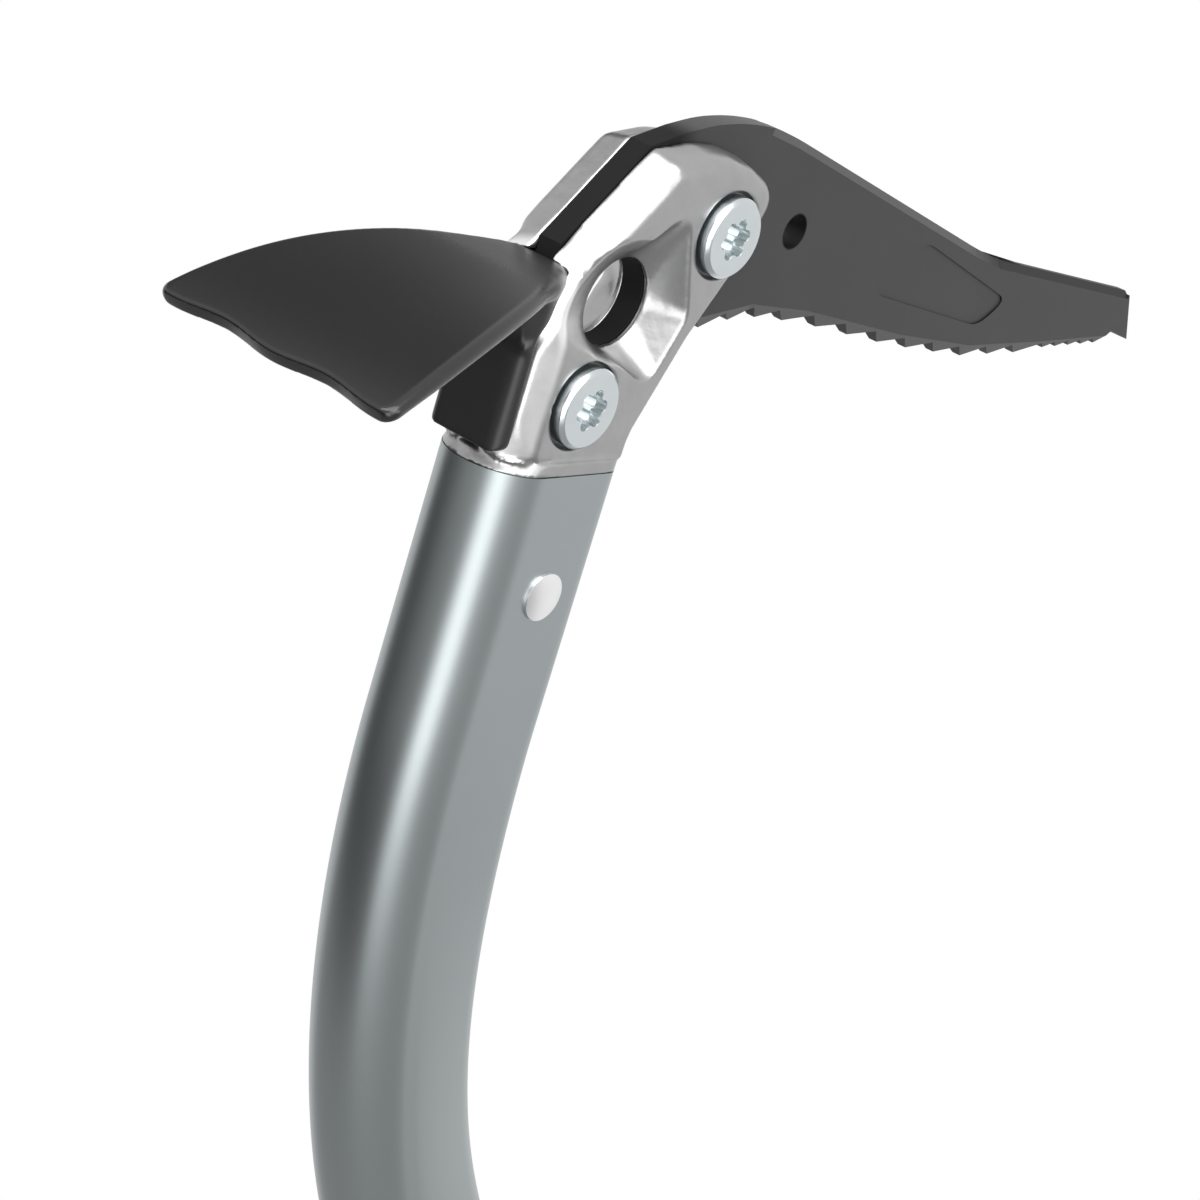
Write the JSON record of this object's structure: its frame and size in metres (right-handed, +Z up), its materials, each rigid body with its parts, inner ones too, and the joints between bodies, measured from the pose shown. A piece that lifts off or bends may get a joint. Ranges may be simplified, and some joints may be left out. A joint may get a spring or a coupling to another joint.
{
  "type": "ice climbing tool",
  "caption": "Ice climbing tool with a forged head, toothed pick, adze, bent tube shaft, rubber grip, sliding finger rest, folding hand rest and spike.",
  "frame": {"origin": "centre of the round eye through the head and the pick, in the tool's middle plane", "axes": "+X forward to the pick's tip, +Z up along the straight lower shaft, Y across the tool"},
  "size_m": [0.2354, 0.043, 0.5094],
  "materials": {
    "head_alloy": "satin polished forging",
    "pick_steel": "matt dark grey, phosphated",
    "black_steel": "satin black coat",
    "zinc_steel": "bright zinc plate",
    "rivet_steel": "bright",
    "shaft_alloy": "satin blue-grey anodised",
    "black_nylon": "fine moulded texture",
    "lever_nylon": "fine moulded texture",
    "grip_rubber": "matt moulded rubber",
    "pad_rubber": "matt"
  },
  "bodies": {
    "tool": {"head_forging": "head_alloy", "pick": "pick_steel", "adze": "black_steel", "pick_bolts": "zinc_steel", "pick_nuts": "zinc_steel", "head_rivet": "rivet_steel", "shaft": "shaft_alloy", "grip_core": "black_nylon", "grip": "grip_rubber", "pommel_collar": "black_nylon", "rest_pin": "rivet_steel", "rest_washers": "zinc_steel", "spike": "pick_steel", "spike_rivet": "rivet_steel"},
    "finger_rest": {"trigger_body": "black_nylon", "trigger_cushion": "grip_rubber", "lever_pin": "rivet_steel", "brake_pad": "pad_rubber"},
    "lever": {"trigger_lever": "lever_nylon"},
    "hand_rest_arm": {"hand_rest": "black_nylon"}
  },
  "joints": [
    {"name": "finger_rest_slide", "type": "slide", "parent": "tool", "child": "finger_rest", "axis": [0, 0, 1], "range_m": [0, 0.075]},
    {"name": "lever_turn", "type": "hinge", "parent": "finger_rest", "child": "lever", "pos_m": [-0.0977, 0, -0.24567], "axis": [0, 1, 0], "range_deg": [0, 110]},
    {"name": "hand_rest_fold", "type": "hinge", "parent": "tool", "child": "hand_rest_arm", "pos_m": [-0.0495, 0, -0.43067], "axis": [0, -1, 0], "range_deg": [0, 80]}
  ]
}
